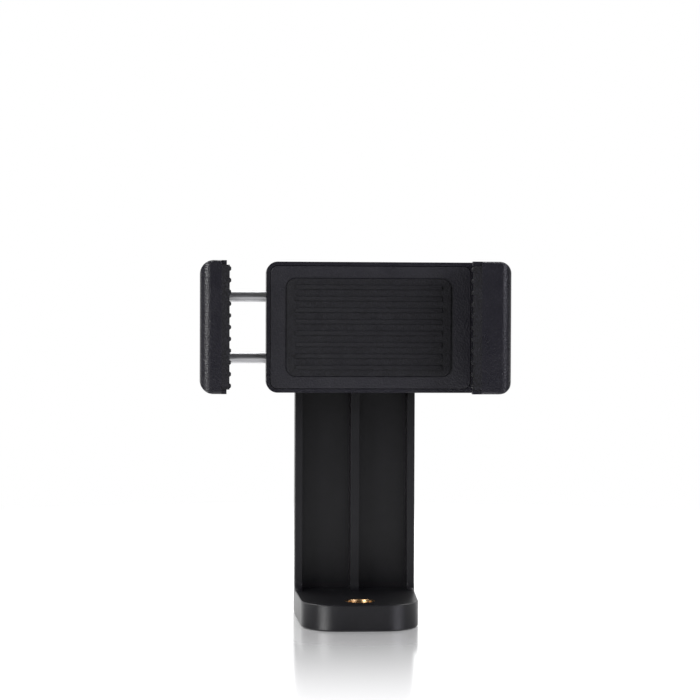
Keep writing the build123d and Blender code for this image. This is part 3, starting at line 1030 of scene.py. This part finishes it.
def glossy_white(material, distance, stage):
    """White whose mirror image fades with the distance from the mount and in a look from above."""
    lit = add_node(material, "ShaderNodeBsdfDiffuse")
    lit.inputs["Color"].default_value = TABLE_WHITE
    mirror = add_node(material, "ShaderNodeBsdfGlossy")
    mirror.inputs["Color"].default_value = WHITE
    mirror.inputs["Roughness"].default_value = stage.table_blur
    fade = remap(material, distance, *stage.mirror_reach, *stage.mirror_share)
    look = add_node(material, "ShaderNodeLayerWeight").outputs["Facing"]
    flatness = remap(material, look, *stage.mirror_facing, stage.steep_mirror, 1.0)
    near = blend_shaders(material, compute(material, "MULTIPLY", fade, flatness), lit, mirror)
    seen = add_node(material, "ShaderNodeLightPath").outputs["Is Camera Ray"]
    lift = add_node(material, "ShaderNodeEmission")
    connect(material, remap(material, seen, 0.0, 1.0, 0.0, stage.table_lift), lift.inputs["Strength"])
    lifted = add_node(material, "ShaderNodeAddShader")
    connect(material, near.outputs[0], lifted.inputs[0])
    connect(material, lift.outputs[0], lifted.inputs[1])
    return lifted


def plain_white(material, place, stage):
    """White that shines by itself, and that darkens towards the camera in reflections."""
    mirrored = remap(
        material, split_axes(material, place)["Y"], *stage.table_dusk, stage.studio_dimness, 1.0)
    white = add_node(material, "ShaderNodeEmission")
    connect(material, white_strength(material, mirrored), white.inputs["Strength"])
    return white


def blend_shaders(material, share, first, second):
    """Mix two shaders by a share."""
    mix = add_node(material, "ShaderNodeMixShader")
    connect(material, share, mix.inputs["Fac"])
    connect(material, first.outputs[0], mix.inputs[1])
    connect(material, second.outputs[0], mix.inputs[2])
    return mix


def white_strength(material, mirrored):
    """1 for the camera, a given strength in reflections, and less for the light that it gives off."""
    path = add_node(material, "ShaderNodeLightPath")
    glow = switch_value(material, path.outputs["Is Diffuse Ray"], mirrored, WHITE_GLOW)
    return switch_value(material, path.outputs["Is Camera Ray"], glow, 1.0)


def make_room(stage):
    """White all round for the camera, and for reflections a white wall behind in a dim studio."""
    world = bpy.data.worlds.new("white_room")
    bpy.context.scene.world = world
    world.use_nodes = True
    world.node_tree.nodes.clear()
    output = add_node(world, "ShaderNodeOutputWorld")
    room = add_node(world, "ShaderNodeBackground")
    room.inputs["Color"].default_value = WHITE
    direction = split_axes(world, add_node(world, "ShaderNodeTexCoord").outputs["Generated"])
    rise = compute(world, "MULTIPLY", direction["Z"], stage.wall_rise)
    behind = compute(world, "ADD", direction["Y"], rise)
    mirrored = remap(world, behind, *stage.wall_edge, stage.studio_dimness, 1.0)
    connect(world, white_strength(world, mirrored), room.inputs["Strength"])
    connect(world, room.outputs["Background"], output.inputs["Surface"])


def switch_value(material, share, off, on):
    """A value that turns to a fixed number as the share goes to 1."""
    mix = add_node(material, "ShaderNodeMix", data_type="FLOAT")
    connect(material, share, mix.inputs["Factor"])
    connect(material, off, mix.inputs["A"])
    mix.inputs["B"].default_value = on
    return mix.outputs["Result"]


def make_lamp(name, place, size, power, tint=(1.0, 1.0, 1.0)):
    """Large soft lamp that faces the middle of the mount."""
    lamp = bpy.data.lights.new(name, "AREA")
    lamp.shape = "RECTANGLE"
    lamp.size, lamp.size_y = size
    lamp.energy = power
    lamp.color = tint
    holder = bpy.data.objects.new(name, lamp)
    holder.location = place
    middle = (cad_box[0] + cad_box[1]) / 2.0
    holder.rotation_euler = (middle - Vector(place)).to_track_quat("-Z", "Y").to_euler()
    holder.visible_camera = False
    bpy.context.scene.collection.objects.link(holder)


def make_camera(stage):
    """Camera at the height of the jaws, a little to the left."""
    data = bpy.data.cameras.new("camera")
    data.lens = stage.focal_length
    data.sensor_width = SENSOR_WIDTH
    camera = bpy.data.objects.new("camera", data)
    camera.location = stage.camera_place
    aim = Euler((math.radians(90.0) - stage.camera_drop, 0.0, -stage.camera_turn)).to_matrix()
    camera.rotation_euler = (aim @ Matrix.Rotation(stage.camera_roll, 3, "Z")).to_euler()
    bpy.context.scene.collection.objects.link(camera)
    bpy.context.scene.camera = camera


class MOUNT_PT_panel(bpy.types.Panel):
    """Sidebar panel with the mount's steps and settings"""

    bl_label = "Phone mount"
    bl_idname = "MOUNT_PT_panel"
    bl_space_type = "VIEW_3D"
    bl_region_type = "UI"
    bl_category = "Phone mount"

    def draw(self, context):
        for group in (context.scene.mount_finish, context.scene.mount_shape, context.scene.mount_stage):
            box = self.layout.box()
            for name in group.__annotations__:
                box.prop(group, name)
        for operator in OPERATORS:
            self.layout.operator(operator.bl_idname)


OPERATORS = (
    MOUNT_OT_bracket, MOUNT_OT_shells, MOUNT_OT_pads, MOUNT_OT_knob, MOUNT_OT_rods,
    MOUNT_OT_springs, MOUNT_OT_insert, MOUNT_OT_screws, MOUNT_OT_stage,
)
CLASSES = (MountFinish, MountShape, MountStage, *OPERATORS, MOUNT_PT_panel)


def register():
    """Register the classes and hang the settings on the scene."""
    for item in CLASSES:
        bpy.utils.register_class(item)
    bpy.types.Scene.mount_finish = PointerProperty(type=MountFinish)
    bpy.types.Scene.mount_shape = PointerProperty(type=MountShape)
    bpy.types.Scene.mount_stage = PointerProperty(type=MountStage)


def unregister():
    """Take the settings and the classes out again."""
    del bpy.types.Scene.mount_stage
    del bpy.types.Scene.mount_shape
    del bpy.types.Scene.mount_finish
    for item in reversed(CLASSES):
        bpy.utils.unregister_class(item)


def main():
    """Dress and stage the mount."""
    register()
    bpy.ops.mount.bracket()
    bpy.ops.mount.shells()
    bpy.ops.mount.pads()
    bpy.ops.mount.knob()
    bpy.ops.mount.rods()
    bpy.ops.mount.springs()
    bpy.ops.mount.insert()
    bpy.ops.mount.screws()
    bpy.ops.mount.stage()


if __name__ == "__main__":
    main()
